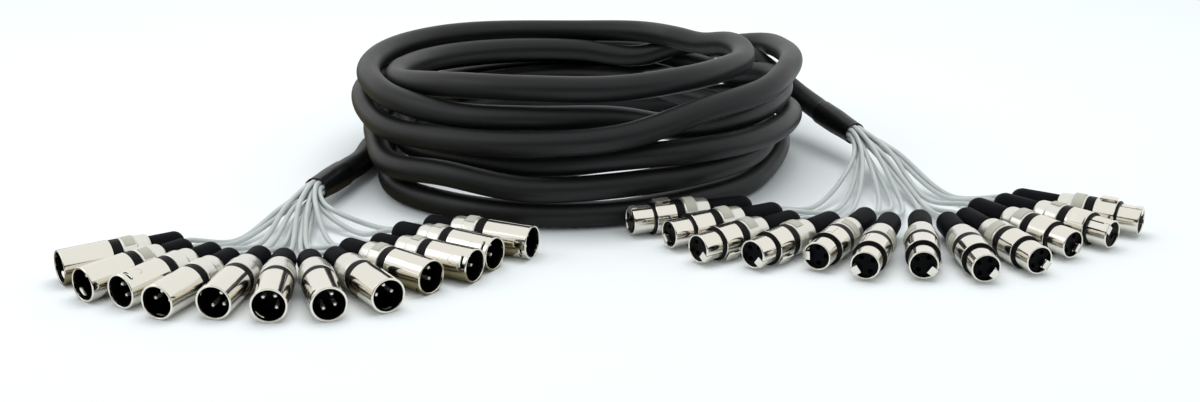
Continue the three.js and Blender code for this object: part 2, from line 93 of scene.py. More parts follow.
# Connectors of each fan: the boot's end, as shares of a connector's radius along X and Y from the
# boot nearest to the coil, the bearing in which the connector points, its roll, and the roll of its
# marking pad.
PLUG_FAN = (
    (-13.72, -2.75, -145, -145, 20), (-13.06, -3.79, -128.4, -140, 30), (-11.35, -4.29, -122.4, 22, 125),
    (-10.2, -5.16, -111.6, 180, 90), (-8.69, -4.79, -99.3, -55, 120), (-7.37, -5.14, -85.8, -138, 60),
    (-6.02, -5.33, -71.1, -58, 120), (-4.78, -5.01, -55.7, 180, 70), (-4.29, -3.76, -39, -136, -10),
    (-2.71, -3.04, -29.5, -62, 5), (-1.65, -1.07, -30.6, -52, 10), (0, 0, -23.5, -117, -5),
)
SOCKET_FAN = (
    (0, 0, -160.3, 0, 24), (1.71, -1.11, -151, -135, 16), (2.57, -2.5, -142.1, 125, 10),
    (4.91, -2.61, -134.5, 125, -8), (7.03, -1.77, -120.9, -95, 40), (8.25, -2.56, -110.6, -125, 70),
    (10.04, -2.09, -99.4, 125, -60), (11.51, -2.49, -85.7, 125, -90), (12.62, -1.75, -69.6, 125, -40),
    (13.66, -0.04, -56.9, 125, -10), (15.4, 0.79, -47.3, -50, 20), (16.57, 1.56, -33.1, 0, -24),
)

# Each end of the trunk: the row of its way, its sleeve's bearing and rise, and the bearing of the
# nearest boot from the coil's axis with its distance as a share of the trunk's radius.
ENDS = {
    "plug_end": (0, -103.5, 4.0, -117.8, 22.4),
    "socket_end": (-1, -67.0, -5.0, -50.3, 20.26),
}
COIL_CENTRE = np.array([-28.0, 53.0, 0.0])
LAYOUT_SHIFT = np.array([0.7, 7.95, 0.0])
UP = np.array([0.0, 0.0, 1.0])


class SnakeSizes(bpy.types.PropertyGroup):
    """Sizes, the same as the solids' ones"""

    shell: bpy.props.FloatProperty(
        name="Shell radius", description="Radius of a connector's metal shell", default=0.0095, unit="LENGTH")
    trunk: bpy.props.FloatProperty(
        name="Trunk radius", description="Radius of the thick trunk cable", default=0.0076, unit="LENGTH")
    tail: bpy.props.FloatProperty(
        name="Tail radius", description="Radius of one thin tail", default=0.0015, unit="LENGTH")
    plug: bpy.props.FloatProperty(
        name="Plug length", description="Length of a cable plug over its boot", default=0.068, unit="LENGTH")
    socket: bpy.props.FloatProperty(
        name="Socket length", description="Length of a cable socket over its boot", default=0.076,
        unit="LENGTH")
    sleeve: bpy.props.FloatProperty(
        name="Sleeve length", description="Length of a shrink sleeve", default=0.042, unit="LENGTH")
    bundle: bpy.props.FloatProperty(
        name="Bundle circle", description="Radius of the circle of outer tails in a sleeve",
        default=0.00475, unit="LENGTH")
    core: bpy.props.FloatProperty(
        name="Inner circle", description="Radius of the circle of the three inner tails in a sleeve",
        default=0.00175, unit="LENGTH")
    contacts: bpy.props.FloatProperty(
        name="Contact circle", description="Radius of the circle of a connector's three contacts",
        default=0.0044, unit="LENGTH")


class SnakeColours(bpy.types.PropertyGroup):
    """Base colours"""

    jacket: bpy.props.FloatVectorProperty(
        name="Trunk", description="Colour of the trunk's jacket", subtype="COLOR",
        default=(0.0046, 0.0053, 0.0058))
    shrink: bpy.props.FloatVectorProperty(
        name="Sleeves", description="Colour of the shrink sleeves", subtype="COLOR",
        default=(0.003, 0.003, 0.0035))
    tail: bpy.props.FloatVectorProperty(
        name="Tails", description="Colour of the thin tails", subtype="COLOR", default=(0.54, 0.57, 0.56))
    nickel: bpy.props.FloatVectorProperty(
        name="Nickel", description="Colour of the polished shells", subtype="COLOR",
        default=(0.79, 0.765, 0.69))
    cap: bpy.props.FloatVectorProperty(
        name="Caps", description="Colour of the satin rear caps", subtype="COLOR",
        default=(0.76, 0.75, 0.69))
    steel: bpy.props.FloatVectorProperty(
        name="Latches", description="Colour of the latches and pins", subtype="COLOR",
        default=(0.8, 0.775, 0.7))
    boot: bpy.props.FloatVectorProperty(
        name="Boots", description="Colour of the rubber boots", subtype="COLOR",
        default=(0.0028, 0.0031, 0.004))
    band: bpy.props.FloatVectorProperty(
        name="Bands", description="Colour of the black rings and bands", subtype="COLOR",
        default=(0.003, 0.003, 0.0032))
    insert: bpy.props.FloatVectorProperty(
        name="Inserts", description="Colour of the contact inserts", subtype="COLOR",
        default=(0.0008, 0.0009, 0.0014))
    pad: bpy.props.FloatVectorProperty(
        name="Marking pads", description="Colour of the bare marking pads", subtype="COLOR",
        default=(0.48, 0.465, 0.4))
    floor: bpy.props.FloatVectorProperty(
        name="Floor", description="Colour of the pale floor", subtype="COLOR", default=(0.88, 0.9, 0.915))


class Value:
    """A shader socket with arithmetic: every operation adds a Math node to its tree."""

    def __init__(self, nodes, socket):
        self.nodes = nodes
        self.socket = socket

    def maths(self, operation, *terms):
        return self.nodes.node("ShaderNodeMath", {"operation": operation}, dict(enumerate(terms)))

    def __add__(self, other):
        return self.maths("ADD", self, other)

    def __radd__(self, other):
        return self.maths("ADD", other, self)

    def __sub__(self, other):
        return self.maths("SUBTRACT", self, other)

    def __rsub__(self, other):
        return self.maths("SUBTRACT", other, self)

    def __mul__(self, other):
        return self.maths("MULTIPLY", self, other)

    def __rmul__(self, other):
        return self.maths("MULTIPLY", other, self)

    def size(self):
        return self.maths("ABSOLUTE", self)

    def above(self, limit):
        return self.maths("GREATER_THAN", self, limit)

    def largest(self, other):
        return self.maths("MAXIMUM", self, other)

    def wave(self):
        return self.maths("SINE", self)

    def root(self):
        return self.maths("SQRT", self)

    def line(self, width):
        """1 where the value is nought, falling to 0 at the width on both sides."""
        return 1 - self.maths("MINIMUM", self.size() * (1 / width), 1.0)


class Nodes:
    """A node tree, whose added nodes all come from one method."""

    def __init__(self, tree):
        self.tree = tree

    def node(self, kind, settings, sockets, output=0):
        """A new node of a kind, with its settings first and then its sockets' values or links."""
        made = self.tree.nodes.new(kind)
        for name, value in settings.items():
            setattr(made, name, value)
        for key, value in sockets.items():
            if isinstance(value, Value):
                self.tree.links.new(value.socket, made.inputs[key])
            else:
                made.inputs[key].default_value = value
        return Value(self, made.outputs[output])


class Surface(Nodes):
    """A material on a principled shader, with what the finishes have in common."""

    def __init__(self, name, colour, roughness, metallic=0.0, specular=0.5):
        self.material = bpy.data.materials.new(name)
        self.material.use_nodes = True
        super().__init__(self.material.node_tree)
        self.shader = self.tree.nodes["Principled BSDF"]
        self.colour = tuple(colour)
        for socket, value in (("Base Color", (*colour, 1)), ("Roughness", roughness), ("Metallic", metallic),
                              ("Specular IOR Level", specular)):
            self.shader.inputs[socket].default_value = value

    def own(self):
        """The piece's own coordinates in millimetres, along and across its axis."""
        return self.node("ShaderNodeAttribute", {"attribute_name": "own"}, {}, "Vector")

    def axes(self):
        own = self.own()
        return [self.node("ShaderNodeSeparateXYZ", {}, {0: own}, axis) for axis in range(3)]

    def noise(self, along, across, detail=2.0):
        """Noise about nought, with a frequency per millimetre along and across the piece's axis."""
        stretched = self.node("ShaderNodeVectorMath", {"operation": "MULTIPLY"},
                              {0: self.own(), 1: (along, across, across)})
        texture = self.node("ShaderNodeTexNoise", {}, {"Vector": stretched, "Scale": 1.0, "Detail": detail})
        return texture - 0.5

    def feed(self, socket, value):
        self.tree.links.new(value.socket, self.shader.inputs[socket])

    def tint(self, mask, darker, lighter=1.0):
        """Lets the mask take the base colour from its darker share to its lighter one."""
        ends = [(*[min(c * share, 1.0) for c in self.colour], 1) for share in (darker, lighter)]
        self.feed("Base Color", self.node(
            "ShaderNodeMix", {"data_type": "RGBA"}, {0: mask, 6: ends[0], 7: ends[1]}, 2))

    def relief(self, height, millimetres):
        """A bump of the given depth where the height goes from 0 to 1."""
        self.feed("Normal", self.node(
            "ShaderNodeBump", {}, {"Strength": 1.0, "Distance": millimetres * MM, "Height": height}))


def jacket_surface(colours):
    """The trunk's satin jacket: fine grain, faint ridges along it and slightly rubbed patches."""
    look = Surface("trunk jacket", colours.jacket, 0.46, specular=0.34)
    look.feed("Roughness", 0.46 + look.noise(0.03, 0.1, 3.0) * 0.22)
    look.tint(look.noise(0.02, 0.12, 3.0) + 0.5, 0.75, 1.3)
    look.relief(look.noise(1.6, 1.6) * 0.25 + look.noise(0.02, 0.45), 0.06)
    return look


def shrink_surface(colours):
    """Satin shrink sleeve, drawn in faint folds."""
    look = Surface("shrink sleeve", colours.shrink, 0.36, specular=0.25)
    look.feed("Roughness", 0.36 + look.noise(0.2, 0.2) * 0.15)
    look.relief(look.noise(0.12, 0.5) + look.noise(0.9, 0.3) * 0.3, 0.16)
    return look


def tail_surface(colours):
    """The thin tails' smooth pale jacket."""
    look = Surface("tail jacket", colours.tail, 0.34, specular=0.4)
    look.tint(look.noise(0.08, 0.3) + 0.5, 0.8, 1.15)
    look.relief(look.noise(0.3, 0.6), 0.02)
    return look


def polish(look, roughness):
    """What all polished plate has: streaks round it, and a slightly uneven reflection."""
    look.feed("Roughness", roughness + look.noise(1.1, 0.12, 3.0) * 0.1)
    return look.noise(0.05, 0.16, 1.0)


def shell_surface(colours):
    """Polished nickel of the plugs' shells, with a shallow pressed arc behind the latch slot, its groove
    painted darker as shade.
    """
    look = Surface("nickel shell", colours.nickel, 0.12, metallic=1.0)
    x, y, z = look.axes()
    back = 0 - x - 9.6
    arc = ((back * back + y * y).root() - 2.1).line(0.3)
    mark = arc * z.above(0) * back.above(-0.4)
    # Painted shade: the pressed arc's colour falls to half along its groove.
    look.tint(mark, 1.0, 0.5)
    look.relief(polish(look, 0.12) - mark * 0.35, 0.22)
    return look


def socket_surface(colours):
    """Polished nickel of the sockets, with a dashed panel pressed into one side of the body, its dashes
    painted darker as shade.
    """
    look = Surface("nickel socket", colours.nickel, 0.12, metallic=1.0)
    x, y, z = look.axes()
    along = (0 - x - 19.7).size() - 4.2
    up = z.size() - 2.9
    panel = along.largest(up).line(0.28) * y.above(4) * (x * 1.9).wave().above(-0.75)
    # Painted shade: the pressed dashes' colour falls to under a fifth along the lines.
    look.tint(panel, 1.0, 0.18)
    look.relief(polish(look, 0.12) - panel * 0.6, 0.22)
    return look


def cap_surface(colours):
    """Satin nickel of the rear caps."""
    look = Surface("cap", colours.cap, 0.3, metallic=0.85)
    look.feed("Roughness", 0.3 + look.noise(0.8, 0.2, 3.0) * 0.12)
    look.tint(look.noise(0.2, 0.2) + 0.5, 0.93, 1.05)
    look.relief(look.noise(0.15, 0.3, 1.0), 0.2)
    return look


def steel_surface(colours):
    """Bright plated steel of the latches and pins."""
    look = Surface("latch steel", colours.steel, 0.24, metallic=0.85)
    look.feed("Roughness", 0.24 + look.noise(0.3, 2.0) * 0.14)
    return look


def boot_surface(colours):
    """Matt rubber of the boots."""
    look = Surface("boot rubber", colours.boot, 0.6, specular=0.07)
    look.tint(look.noise(0.2, 0.2) + 0.5, 0.75, 1.3)
    look.relief(look.noise(2.2, 2.2), 0.05)
    return look


def band_surface(colours):
    """Black moulded bands with a coarse, slightly shining texture."""
    look = Surface("black band", colours.band, 0.4, specular=0.12)
    look.feed("Roughness", 0.4 + look.noise(0.8, 0.8) * 0.3)
    look.relief(look.noise(0.9, 1.5), 0.25)
    return look


def insert_surface(colours):
    """Black contact inserts and linings."""
    look = Surface("black insert", colours.insert, 0.4, specular=0.06)
    look.relief(look.noise(1.5, 1.5), 0.03)
    return look


def pad_surface(colours):
    """Bare marking pads of pale satin plastic."""
    look = Surface("marking pad", colours.pad, 0.5, specular=0.35)
    look.tint(look.noise(0.4, 0.4) + 0.5, 0.92, 1.05)
    look.relief(look.noise(2.0, 2.0), 0.02)
    return look


FINISHES = {
    "trunk jacket": jacket_surface,
    "shrink sleeve": shrink_surface,
    "tail jacket": tail_surface,
    "nickel shell": shell_surface,
    "nickel socket": socket_surface,
    "cap": cap_surface,
    "latch steel": steel_surface,
    "boot rubber": boot_surface,
    "black band": band_surface,
    "black insert": insert_surface,
    "marking pad": pad_surface,
}


def finish(name):
    """A finish's material, made the first time that a piece asks for it."""
    made = bpy.data.materials.get(name)
    return made or FINISHES[name](bpy.context.scene.snake_colours).material


def lengths():
    """The add-on's sizes in millimetres, by name."""
    group = bpy.context.scene.snake_sizes
    return SimpleNamespace(**{name: getattr(group, name) / MM for name in SnakeSizes.__annotations__})


def add_piece(name, form, material, slot, *nodes, body="snake"):
    """A finished mesh at the origin that rides on its body and stands for its solids.

    form holds the points in the row frame, the faces, and own: the same points in the piece's own
    axes, which its material reads. Points that lie within JOIN of each other become one, which
    closes the poles of a turned shape and leaves a triangle where a face has a corner twice.
    Edges between faces that turn by more than SHARP are sharp, and all others are shaded smooth.
    """
    points, faces, own = form
    keys = np.round(points / JOIN).astype(np.int64)
    first, back = np.unique(keys, axis=0, return_index=True, return_inverse=True)[1:]
    back = back.ravel()
    rows = [tuple(dict.fromkeys(back[list(face)].tolist())) for face in faces]
    mesh = bpy.data.meshes.new(name)
    mesh.from_pydata((points[first] * MM).tolist(), [], [row for row in rows if len(row) > 2])
    mesh.polygons.foreach_set("use_smooth", [True] * len(mesh.polygons))
    mesh.set_sharp_from_angle(angle=SHARP)
    layer = mesh.attributes.new("own", "FLOAT_VECTOR", "POINT")
    layer.data.foreach_set("vector", own[first].astype(np.float32).ravel())
    mesh.materials.append(finish(material))
    mesh.update()
    made = bpy.data.objects.new(name, mesh)
    bpy.context.collection.objects.link(made)
    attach(made, body)
    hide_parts(*nodes)
    return made


def grid_faces(rows, columns, closed=False):
    """Quads between the rows of a grid of points, whose columns join round, as its rows do if closed."""
    r, c = np.meshgrid(np.arange(rows if closed else rows - 1), np.arange(columns), indexing="ij")
    n, s = (c + 1) % columns, (r + 1) % rows
    return np.stack([r * columns + c, r * columns + n, s * columns + n, s * columns + c], -1).reshape(-1, 4)


def rounded(profile, radius, steps=3):
    """A profile whose inner corners are arcs that start a radius away from each corner.

    Between its ends a and c the arc is the quadratic curve a(1-t)^2 + 2bt(1-t) + ct^2 round the
    corner b. A guard point just outside each end keeps the shading of the straight stretches straight.
    """
    arc_share, guard_share, guard_reach = 0.35, 0.45, 1.5
    points = [np.array(p, dtype=float) for p in profile]
    out = [points[0]]
    for before, corner, after in zip(points, points[1:], points[2:]):
        spans = [q - corner for q in (before, after)]
        sizes = [np.linalg.norm(span) for span in spans]
        start, end = [corner + span / size * min(radius, arc_share * size)
                      for span, size in zip(spans, sizes)]
        guards = [corner + span / size * min(guard_reach * radius, guard_share * size)
                  for span, size in zip(spans, sizes)]
        out.append(guards[0])
        for t in np.linspace(0, 1, steps + 1):
            out.append(start * (1 - t) ** 2 + 2 * corner * t * (1 - t) + end * t * t)
        out.append(guards[1])
    out.append(points[-1])
    return out


def spun(s, r, a):
    """Points (-s, r sin a, r cos a) for each row of a profile at each angle off the top line."""
    across, high = np.outer(r, np.sin(a)), np.outer(r, np.cos(a))
    return np.stack([np.repeat(-s, len(a)), across.ravel(), high.ravel()], -1)


def turned(profile, sides=64, closed=False):
    """A body of revolution about X, from rows of (distance s behind the mating end, radius r).

    A profile runs with its outside from front to rear.
    """
    s, r = np.array(profile, dtype=float).T
    a = 2 * np.pi * np.arange(sides) / sides
    points = spun(s, r, a)
    return points, grid_faces(len(s), sides, closed), points


def tube_end(radius, front, rear):
    """Profile of a boot's rounded end: a quarter ellipse from the full radius down to the tail."""
    first_angle, hole = 0.15, 1.45
    a = np.linspace(first_angle, 0.5 * np.pi, 9)
    return [(front + (rear - front) * math.sin(t), hole + (radius - hole) * math.cos(t)) for t in a]


def joined(*forms):
    """Several forms as one."""
    counts = np.cumsum([0] + [len(form[0]) for form in forms])
    faces = [tuple(int(i) + count for i in face) for form, count in zip(forms, counts) for face in form[1]]
    return np.vstack([form[0] for form in forms]), faces, np.vstack([form[2] for form in forms])


def moved(form, offset):
    """A form moved within its own axes."""
    return form[0] + offset, form[1], form[2] + offset


def prism(outline, width):
    """A side outline of (s, r), in order from the front over the top to the rear, as wide as width."""
    n = len(outline)
    side = np.array([(-s, 0.0, r) for s, r in outline])
    half = np.array([0.0, width / 2, 0.0])
    points = np.vstack([side - half, side + half])
    around = np.arange(n)
    after = (around + 1) % n
    walls = np.stack([around, around + n, after + n, after], -1)
    faces = [tuple(around[::-1]), tuple(around + n)] + [tuple(wall) for wall in walls]
    faces = [tuple(int(i) for i in face[::-1]) for face in faces]
    return points, faces, points


def circle(radius, count, centre=(0.0, 0.0)):
    """Points (y, z) on a circle, against the clock as seen from the mating end."""
    a = 2 * np.pi * np.arange(count) / count
    return np.stack([centre[0] + radius * np.cos(a), centre[1] + radius * np.sin(a)], -1)


def contact_places(sizes):
    """The contacts' places (y, z) on their circle: left, right and opposite the latch."""
    angles = (-0.5 * np.pi, 0.5 * np.pi, np.pi)
    return [(sizes.contacts * math.sin(a), sizes.contacts * math.cos(a)) for a in angles]


def plate(outline, holes, front, rear, hole_floor):
    """A thick plate square to the axis, with blind holes: loops of (y, z) carried from front to rear.

    Its front is the area between the loops cut into triangles, turned to face forwards.
    """
    loops = [outline, *holes]
    flat = np.vstack(loops)
    triangles = np.array(tessellate_polygon([[(y, z, 0.0) for y, z in loop] for loop in loops]))
    a, b, c = flat[triangles[:, 0]], flat[triangles[:, 1]], flat[triangles[:, 2]]
    backwards = (b[:, 0] - a[:, 0]) * (c[:, 1] - a[:, 1]) < (b[:, 1] - a[:, 1]) * (c[:, 0] - a[:, 0])
    triangles[backwards] = triangles[backwards][:, ::-1]
    ends = np.repeat([rear] + [hole_floor] * len(holes), [len(loop) for loop in loops])
    starts = np.full(len(flat), float(front))
    points = np.vstack([np.column_stack([-starts, flat]), np.column_stack([-ends, flat])])
    faces = [tuple(t) for t in triangles.tolist()]
    start = 0
    for index, loop in enumerate(loops):
        n = len(loop)
        here = start + np.arange(n)
        there = start + (np.arange(n) + 1) % n
        walls = np.stack([here, here + len(flat), there + len(flat), there], -1)
        floor = here + len(flat)
        faces += [tuple(w) for w in (walls if index == 0 else walls[:, ::-1]).tolist()]
        faces.append(tuple((floor[::-1] if index == 0 else floor).tolist()))
        start += n
    return points, faces, points


def with_rows(profile, cuts):
    """A profile with a row added at each cut, wherever a straight stretch of it crosses that place."""
    out = [np.array(profile[0], dtype=float)]
    for before, after in zip(profile, profile[1:]):
        before, after = np.array(before, dtype=float), np.array(after, dtype=float)
        for cut in sorted(cuts, reverse=after[0] < before[0]):
            if min(before[0], after[0]) < cut < max(before[0], after[0]):
                out.append(before + (after - before) * (cut - before[0]) / (after[0] - before[0]))
        out.append(after)
    return out


def windowed(profile, front, rear, half_width, sides=64, steps=14):
    """A turned tube whose wall has an opening with round ends, on its top line.

    The profile is a closed loop with a row at front and one at rear on both its sides. Those rows
    close in on the opening's middle line as the ellipse s = m -+ h sqrt(1 - e^2) beyond the straight
    share of its width, the faces between them are left out, and walls join the inner and outer edge.
    """
    s, r = np.array(profile, dtype=float).T
    straight_share = 0.55
    edge = math.asin(half_width / r.max())
    a = np.append(np.linspace(-edge, edge, steps + 1), np.linspace(edge, 2 * np.pi - edge, sides)[1:-1])
    n = len(a)
    share = np.clip((np.abs(a[:steps + 1]) / edge - straight_share) / (1 - straight_share), 0, 1)
    pull = np.sqrt(1 - share ** 2)
    places = np.repeat(s[:, None], n, axis=1)
    middle, half = (front + rear) / 2, (rear - front) / 2
    at_front, at_rear = np.flatnonzero(np.isclose(s, front)), np.flatnonzero(np.isclose(s, rear))
    places[at_front[:, None], np.arange(steps + 1)] = middle - half * pull
    places[at_rear[:, None], np.arange(steps + 1)] = middle + half * pull
    points = np.stack([-places.ravel(), np.outer(r, np.sin(a)).ravel(), np.outer(r, np.cos(a)).ravel()], -1)
    faces = grid_faces(len(s), n, True)
    row, column = faces[:, 0] // n, faces[:, 0] % n
    opening = (column < steps) & ((row == at_rear[0]) | (row == at_front[1]))
    j = np.arange(steps)
    inner_rear, outer_rear = at_rear
    inner_front, outer_front = at_front
    front_walls = np.stack([outer_front * n + j, outer_front * n + j + 1, inner_front * n + j + 1,
                            inner_front * n + j], -1)
    rear_walls = np.stack([outer_rear * n + j, inner_rear * n + j, inner_rear * n + j + 1,
                           outer_rear * n + j + 1], -1)
    return points, np.vstack([faces[~opening], front_walls[:, ::-1], rear_walls[:, ::-1]]), points


def part_turned(profile, start, end, sides):
    """A loop of (s, r) turned from one angle off the top line to another, closed by a wall at each."""
    s, r = np.array(profile, dtype=float).T
    a = np.radians(np.linspace(start, end, sides))
    points = spun(s, r, a)
    faces = grid_faces(len(s), sides, True)
    walls = [tuple((np.arange(len(s)) * sides).tolist()),
             tuple((np.arange(len(s))[::-1] * sides + sides - 1).tolist())]
    return points, [tuple(f) for f in faces[faces[:, 0] % sides < sides - 1].tolist()] + walls, points


def heading(bearing, rise=0.0):
    """Unit vector at a bearing in the floor's plane and a rise above it, in degrees."""
    b, r = math.radians(bearing), math.radians(rise)
    return np.array([math.cos(b) * math.cos(r), math.sin(b) * math.cos(r), math.sin(r)])


def laid(form, place, pointing, roll=0.0, rise=0.0):
    """A form from its own axes to the row frame: roll about X, then rise, then bearing."""
    turn = (Matrix.Rotation(math.radians(pointing), 3, "Z") @ Matrix.Rotation(-math.radians(rise), 3, "Y")
            @ Matrix.Rotation(-math.radians(roll), 3, "X"))
    return form[0] @ np.array(turn).T + place, form[1], form[2]


def way_values(turns):
    """The trunk's (radius, height) shares at any turns: a cubic between each two rows of TRUNK_WAY.

    With u = (t - t0)/h and v = 1 - u the value is (1+2u)v^2 a + (1+2v)u^2 b + u v^2 h a' - u^2 v h b',
    where each slope is weighted from the slopes on both its sides.
    """
    rows = np.array(TRUNK_WAY)
    t, values = rows[:, 0], rows[:, 1:]
    spans = np.diff(t)[:, None]
    slopes = np.diff(values, axis=0) / spans
    inner = (slopes[:-1] * spans[1:] + slopes[1:] * spans[:-1]) / (spans[1:] + spans[:-1])
    bent = np.vstack([slopes[:1], inner, slopes[-1:]])
    i = np.clip(np.searchsorted(t, turns, side="right") - 1, 0, len(t) - 2)
    h = spans[i]
    u = ((turns - t[i]) / spans[i, 0])[:, None]
    v = 1 - u
    return ((1 + 2 * u) * v * v * values[i] + (1 + 2 * v) * u * u * values[i + 1]
            + u * v * v * h * bent[i] - u * u * v * h * bent[i + 1])


def coil_points(turns, sizes):
    """Points of the trunk's centre line, (R cos b, R sin b) about the coil's axis, at b = pi - 2 pi t."""
    shares = way_values(turns)
    bearing = np.pi - 2 * np.pi * turns
    radius = sizes.trunk * shares[:, 0]
    flat = np.stack([radius * np.cos(bearing), radius * np.sin(bearing), 0 * turns], -1)
    return COIL_CENTRE + LAYOUT_SHIFT + flat + np.outer(sizes.trunk * np.maximum(shares[:, 1], 1), UP)


def trunk_end(name, sizes):
    """An end of the trunk: its sleeve's mouth, bearing and rise, and the nearest boot's end."""
    row, bearing, rise, boot_bearing, boot_share = ENDS[name]
    mouth = coil_points(np.array([TRUNK_WAY[row][0]]), sizes)[0] + heading(bearing, rise) * sizes.sleeve
    near_boot = COIL_CENTRE + LAYOUT_SHIFT + heading(boot_bearing) * (boot_share * sizes.trunk + sizes.shell)
    return SimpleNamespace(mouth=mouth, bearing=bearing, rise=rise, near_boot=near_boot)


def seat(end, row, length, sizes):
    """Where a connector lies: its boot's end, its heading, its mating end, and its rolls."""
    boot = end.near_boot + np.array([row[0], row[1], 1.0]) * sizes.shell
    way = heading(row[2])
    return SimpleNamespace(boot=boot, way=way, rim=boot + way * length,
                           pointing=row[2], roll=row[3], pad=row[4])


def trunk_line(sizes, per_turn=110):
    """The trunk's centre line: the curve through the loops, and a straight end in each sleeve."""
    reach_in = 19.7
    first, last = TRUNK_WAY[0][0], TRUNK_WAY[-1][0]
    line = coil_points(np.linspace(first, last, int((last - first) * per_turn)), sizes)
    tips = [end.mouth - heading(end.bearing, end.rise) * (sizes.sleeve - reach_in)
            for end in (trunk_end(name, sizes) for name in ENDS)]
    return np.vstack([tips[0], line, tips[1]])


def tube(line, radius, sides):
    """A tube round a line of points, with upright rings: c + radius (cos a side + sin a up).

    Its own axes are the length along the line and the offsets across it.
    """
    along = np.gradient(line, axis=0)
    along /= np.linalg.norm(along, axis=1)[:, None]
    side = np.cross(UP, along)
    side /= np.linalg.norm(side, axis=1)[:, None]
    up = np.cross(along, side)
    a = 2 * np.pi * np.arange(sides) / sides
    across, high = radius * np.cos(a), radius * np.sin(a)
    rings = line[:, None] + across[None, :, None] * side[:, None] + high[None, :, None] * up[:, None]
    points = rings.reshape(-1, 3)
    quads = grid_faces(len(line), sides)[:, ::-1]
    faces = [tuple(f) for f in quads.tolist()]
    faces.append(tuple(range(sides - 1, -1, -1)))
    faces.append(tuple(range(len(points) - sides, len(points))))
    length = np.concatenate([[0], np.cumsum(np.linalg.norm(np.diff(line, axis=0), axis=1))])
    own = np.column_stack([np.repeat(length, sides), np.tile(across, len(line)), np.tile(high, len(line))])
    return points, faces, own


def through(points, per_span=14):
    """A centripetal Catmull-Rom curve through points, the knots spaced by the root of the distance.

    With tangents m, a span runs as p1 + m1 t + (3d - 2 m1 - m2) t^2 + (m1 + m2 - 2d) t^3, d = p2 - p1.
    """
    ends = np.vstack([2 * points[0] - points[1], points, 2 * points[-1] - points[-2]])
    p0, p1, p2, p3 = ends[:-3], ends[1:-2], ends[2:-1], ends[3:]
    d0, d1, d2 = (np.sqrt(np.linalg.norm(b - a, axis=1))[:, None] for a, b in ((p0, p1), (p1, p2), (p2, p3)))
    m1 = ((p1 - p0) / d0 - (p2 - p0) / (d0 + d1) + (p2 - p1) / d1) * d1
    m2 = ((p2 - p1) / d1 - (p3 - p1) / (d1 + d2) + (p3 - p2) / d2) * d1
    t = (np.arange(per_span) / per_span)[None, :, None]
    p1, m1, m2, d = (q[:, None] for q in (p1, m1, m2, p2 - p1))
    curve = p1 + m1 * t + (3 * d - 2 * m1 - m2) * t ** 2 + (m1 + m2 - 2 * d) * t ** 3
    return np.vstack([curve.reshape(-1, 3), points[-1]])


def bundle_places(sizes):
    """Offsets across a sleeve's axis of its twelve tails, nine round three, from left to right."""
    places = []
    for count, radius in ((9, sizes.bundle), (3, sizes.core)):
        for i in range(count):
            steps = -i / 2 if i % 2 == 0 else (i + 1) / 2
            angle = math.pi + 2 * math.pi * steps / count
            places.append((radius * math.cos(angle), radius * math.sin(angle)))
    return sorted(places, key=lambda p: p[0])


def tail_points(end, place, offset, sizes):
    """The points of one tail: out of the sleeve, down and apart, and straight into its boot."""
    straight, gap, buried = 3.4, 0.3, 12
    leave_share, leave_height = 0.26, 0.78
    enter_share, enter_height = 0.3, 0.36
    axis = heading(end.bearing, end.rise)
    across = np.cross(UP, axis)
    across /= np.linalg.norm(across)
    shift = across * offset[0] + np.cross(axis, across) * offset[1]
    out = place.boot - place.way * gap
    way = np.linalg.norm(out - end.mouth)
    level = np.array([1.0, 1.0, 0.0])
    to_boot = (out - end.mouth) * level
    leave = (to_boot / np.linalg.norm(to_boot) + axis) * level
    leave /= np.linalg.norm(leave)
    first = end.mouth + axis * straight + shift + leave * leave_share * way
    first[2] = (end.mouth[2] + offset[1]) * leave_height
    second = out - place.way * enter_share * way
    second[2] = enter_height * sizes.shell
    starts = [end.mouth + axis * along + shift for along in (gap - buried, -straight, straight)]
    return np.array(starts + [first, second, out - place.way * straight, out])


class SNAKE_OT_trunk(bpy.types.Operator):
    """The trunk cable in its loops, and the shrink sleeves on both its ends"""

    bl_idname = "snake.trunk"
    bl_label = "Add the trunk"

    def execute(self, context):
        sizes = lengths()
        line = trunk_line(sizes)
        trunk = add_piece("trunk_cable", tube(line, sizes.trunk, 32), "trunk jacket", "trunk_jacket", "trunk")
        sleeves = [add_sleeve(name, sizes) for name in ENDS]
        return {"FINISHED"}


def add_sleeve(name, sizes):
    """A shrink sleeve: wide over the trunk, then drawn down on the tails, with a turned-in mouth."""
    rear = sizes.sleeve
    profile = rounded([
        (rear - 0.5, 7.65), (22, 7.65), (14, 6.55), (1, 6.5), (0, 6.7), (0, 7.35), (1.2, 7.25), (5, 7.35),
        (13, 7.6), (23, 8.15), (rear - 1, 8.2), (rear, 8), (rear, 7.85), (rear - 0.5, 7.65),
    ], 0.8)
    end = trunk_end(name, sizes)
    form = laid(turned(profile, 56), end.mouth, end.bearing, 0, end.rise)
    return add_piece(f"sleeve_at_{name}", form, "shrink sleeve", "shrink_sleeve", f"shrink_sleeve_{name}")


class SNAKE_OT_plugs(bpy.types.Operator):
    """The twelve cable plugs with their tails"""

    bl_idname = "snake.plugs"
    bl_label = "Add the plugs"

    def execute(self, context):
        add_fan("plug", PLUG_FAN, lengths().plug, add_plug)
        return {"FINISHED"}


class SNAKE_OT_sockets(bpy.types.Operator):
    """The twelve cable sockets with their latches and tails"""

    bl_idname = "snake.sockets"
    bl_label = "Add the sockets"

    def execute(self, context):
        add_fan("socket", SOCKET_FAN, lengths().socket, add_socket)
        return {"FINISHED"}


